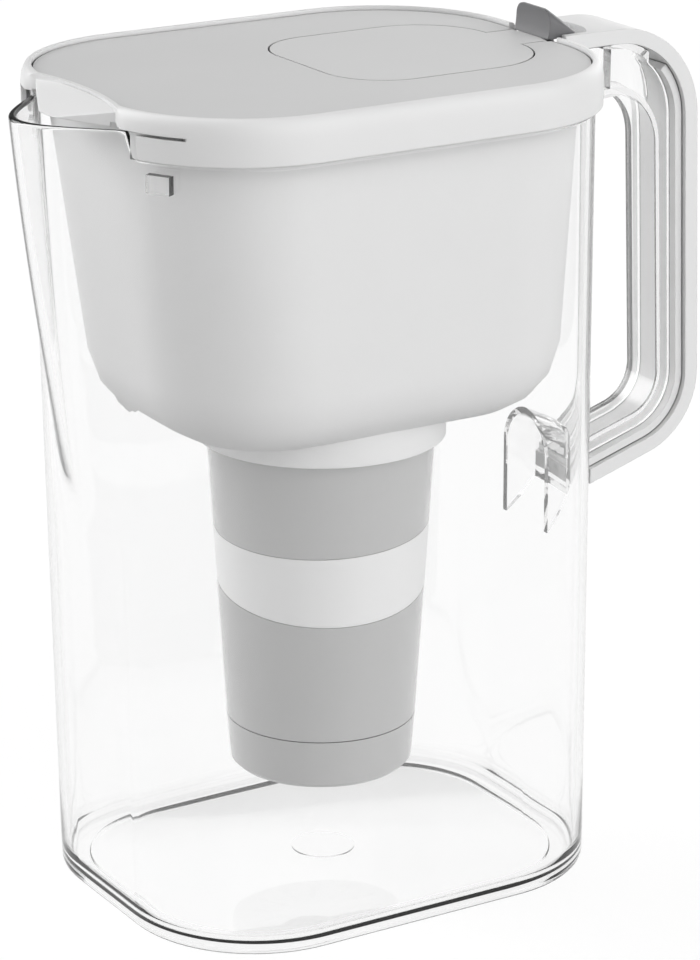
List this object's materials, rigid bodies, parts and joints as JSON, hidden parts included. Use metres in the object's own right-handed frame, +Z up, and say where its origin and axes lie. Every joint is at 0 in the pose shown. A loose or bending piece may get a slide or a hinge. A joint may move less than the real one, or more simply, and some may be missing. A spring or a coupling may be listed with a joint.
{
  "type": "water filter pitcher",
  "caption": "Clear water filter pitcher with a lift-out reservoir, hanging filter, grey lid with a flip-up filling flap and thumb tab, and a two-tone loop handle.",
  "frame": {"origin": "middle of the gate pad on the jug's underside, at table level", "axes": "+Z up, +X from the spout towards the handle, Y across; the pitcher is symmetric about Y = 0"},
  "size_m": [0.2447, 0.1364, 0.276],
  "materials": {
    "clear_plastic": "clear glossy moulded plastic",
    "light_plastic": "light grey, soft satin",
    "grey_plastic": "mid grey, fine matte grain",
    "mid_grey_plastic": "grey, satin",
    "dark_grey_plastic": "dark grey, satin",
    "white_plastic": "off-white",
    "filter_fleece": "pleated fleece",
    "seal_rubber": "soft matte"
  },
  "bodies": {
    "jug_body": {"jug": "clear_plastic", "handle_core": "clear_plastic", "handle_grip": "mid_grey_plastic", "handle_band": "light_plastic"},
    "reservoir_body": {"reservoir": "light_plastic"},
    "lid_body": {"lid_frame": "light_plastic", "lid_plate": "grey_plastic", "hinge_pin": "white_plastic"},
    "flap_body": {"flap": "grey_plastic", "thumb_tab": "dark_grey_plastic"},
    "filter_body": {"filter_shell": "mid_grey_plastic", "wave_band": "white_plastic", "bottom_cup": "mid_grey_plastic", "pleated_media": "filter_fleece", "core_tube": "white_plastic", "upper_end_disc": "white_plastic", "lower_end_disc": "white_plastic", "outlet_screen": "white_plastic", "inlet_screen": "white_plastic", "filter_top_cap": "mid_grey_plastic", "seal_ring": "seal_rubber", "pull_loop": "mid_grey_plastic"}
  },
  "joints": [
    {"name": "reservoir_lift", "type": "slide", "parent": "jug_body", "child": "reservoir_body", "axis": [0, 0, 1], "range_m": [0, 0.12]},
    {"name": "lid_lift", "type": "slide", "parent": "reservoir_body", "child": "lid_body", "axis": [0, 0, 1], "range_m": [0, 0.06]},
    {"name": "flap_hinge", "type": "hinge", "parent": "lid_body", "child": "flap_body", "pos_m": [0.08, 0, 0.2635], "axis": [0, 1, 0], "range_deg": [0, 75]},
    {"name": "filter_lift", "type": "slide", "parent": "reservoir_body", "child": "filter_body", "axis": [0, 0, 1], "range_m": [0, 0.06]}
  ]
}
